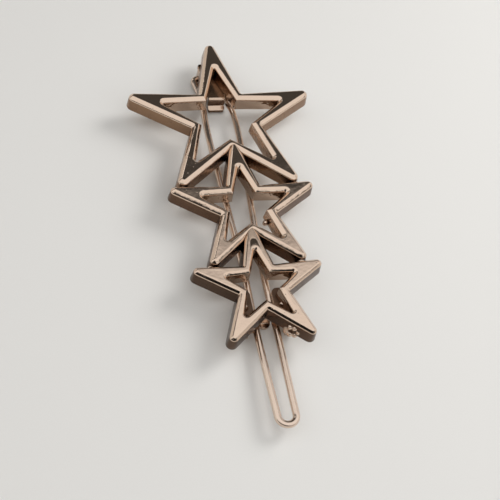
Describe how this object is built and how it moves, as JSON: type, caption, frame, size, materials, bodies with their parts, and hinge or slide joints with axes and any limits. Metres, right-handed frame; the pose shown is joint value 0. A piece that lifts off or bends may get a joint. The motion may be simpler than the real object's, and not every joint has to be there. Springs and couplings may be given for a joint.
{
  "type": "hair slide",
  "caption": "Hair slide with open five-pointed stars in a row of falling size and a hinged U-shaped spring wire that closes on a catch behind them.",
  "frame": {"origin": "centre of the bounding box in X and Y, at the lowest point of the hinge bracket in Z", "axes": "+Y along the row from the wire's closed loop to the large star's tip, +Z out of the stars' decorated front, +X across to the right as seen from the front with the large star on top"},
  "size_m": [0.035, 0.078, 0.0063],
  "materials": {
    "plated_casting": "pale rose-gold plate, polished, over a zinc-alloy casting",
    "plated_sheet": "pale rose-gold plate over stamped sheet",
    "plated_wire": "pale rose-gold plate over drawn spring-steel wire",
    "solder": "plated solder, smooth and slightly dull"
  },
  "bodies": {
    "front": {"large_star": "plated_casting", "middle_star": "plated_casting", "small_star": "plated_casting", "upper_star_solder": "solder", "lower_star_solder": "solder", "hinge_bracket": "plated_sheet", "hinge_solder": "solder", "catch_plate": "plated_sheet", "catch_solder": "solder"},
    "wire": {"spring_wire": "plated_wire"}
  },
  "joints": [
    {"name": "wire_hinge", "type": "hinge", "parent": "wire", "child": "front", "pos_m": [0, 0.03405, 0.00125], "axis": [-1, 0, 0], "range_deg": [0, 60]}
  ]
}
